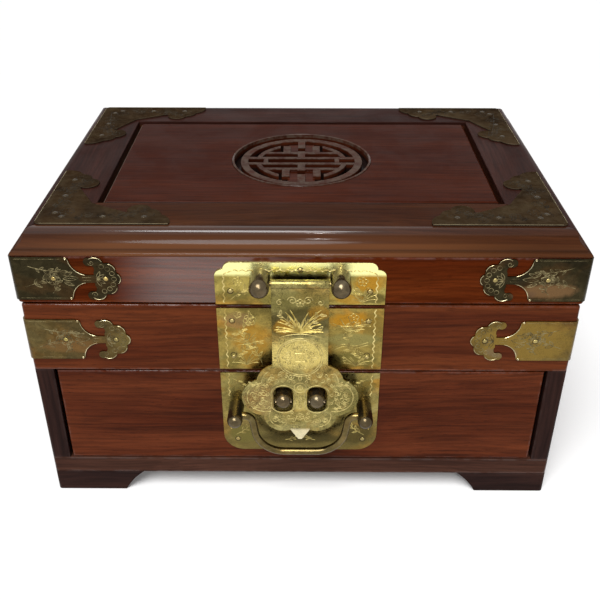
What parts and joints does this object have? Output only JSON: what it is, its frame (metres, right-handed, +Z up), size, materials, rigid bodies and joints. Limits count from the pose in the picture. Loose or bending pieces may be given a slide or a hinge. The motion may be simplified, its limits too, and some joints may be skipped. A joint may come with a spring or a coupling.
{
  "type": "jewellery box",
  "caption": "Hinged-lid wooden jewellery box with a pierced roundel, engraved brass corner and lock plates, a hanging hasp and a drawer with a bail handle.",
  "frame": {"origin": "on the floor under the middle of the whole box, fittings included", "axes": "+X left to right as the front is seen, -Y out of the front towards the user, +Z up"},
  "size_m": [0.306, 0.2336, 0.1797],
  "materials": {
    "rosewood": "polished dark red wood",
    "inner_wood": "plain oiled wood",
    "plate_brass": "aged engraved brass",
    "top_brass": "dark patinated brass",
    "post_brass": "dark polished brass",
    "lining": "short-pile velvet"
  },
  "bodies": {
    "case": {"foot_front_left": "rosewood", "foot_front_right": "rosewood", "foot_rear_left": "rosewood", "foot_rear_right": "rosewood", "base_rail_front": "rosewood", "base_rail_rear": "rosewood", "base_rail_left": "rosewood", "base_rail_right": "rosewood", "bottom_board": "inner_wood", "front_board": "rosewood", "back_board": "rosewood", "side_board_left": "rosewood", "side_board_right": "rosewood", "stile_left": "rosewood", "stile_right": "rosewood", "dust_board": "inner_wood", "dividers": "inner_wood", "cell_pads": "lining", "mid_plate": "plate_brass", "body_straps_front": "plate_brass", "body_straps_rear": "plate_brass", "case_nails": "plate_brass", "case_hinge_leaves": "plate_brass", "hinge_pins": "plate_brass"},
    "lid": {"lid_wall_front": "rosewood", "lid_wall_rear": "rosewood", "lid_wall_left": "rosewood", "lid_wall_right": "rosewood", "top_rail_front": "rosewood", "top_rail_rear": "rosewood", "top_rail_left": "rosewood", "top_rail_right": "rosewood", "top_panel": "rosewood", "fret_roundel": "rosewood", "lid_liner": "inner_wood", "lid_pad": "lining", "lid_plate": "plate_brass", "lid_posts": "post_brass", "hasp_pin": "plate_brass", "lid_straps_front": "plate_brass", "lid_straps_rear": "plate_brass", "top_corners_front": "top_brass", "top_corners_rear": "top_brass", "lid_nails": "plate_brass", "lid_hinge_leaves": "plate_brass"},
    "drawer": {"drawer_front": "rosewood", "drawer_side_left": "inner_wood", "drawer_side_right": "inner_wood", "drawer_back": "inner_wood", "drawer_bottom": "inner_wood", "drawer_pad": "lining", "drawer_plate": "plate_brass", "staples": "post_brass", "handle_posts": "post_brass", "drawer_nails": "plate_brass"},
    "hasp": {"hasp": "plate_brass"},
    "bail": {"bail": "post_brass"}
  },
  "joints": [
    {"name": "lid_hinge", "type": "hinge", "parent": "case", "child": "lid", "pos_m": [0, 0.11445, 0.13675], "axis": [-1, 0, 0], "range_deg": [0, 100]},
    {"name": "drawer_slide", "type": "slide", "parent": "case", "child": "drawer", "axis": [0, -1, 0], "range_m": [0, 0.15]},
    {"name": "hasp_swing", "type": "hinge", "parent": "lid", "child": "hasp", "pos_m": [0, -0.10685, 0.1544], "axis": [-1, 0, 0], "range_deg": [0, 180]},
    {"name": "bail_swing", "type": "hinge", "parent": "drawer", "child": "bail", "pos_m": [0, -0.10725, 0.067], "axis": [-1, 0, 0], "range_deg": [-12, 110]}
  ],
  "couplings": [
    {"joint": "hasp_swing", "follows": "drawer_slide", "rad_per_m": 20.94}
  ]
}
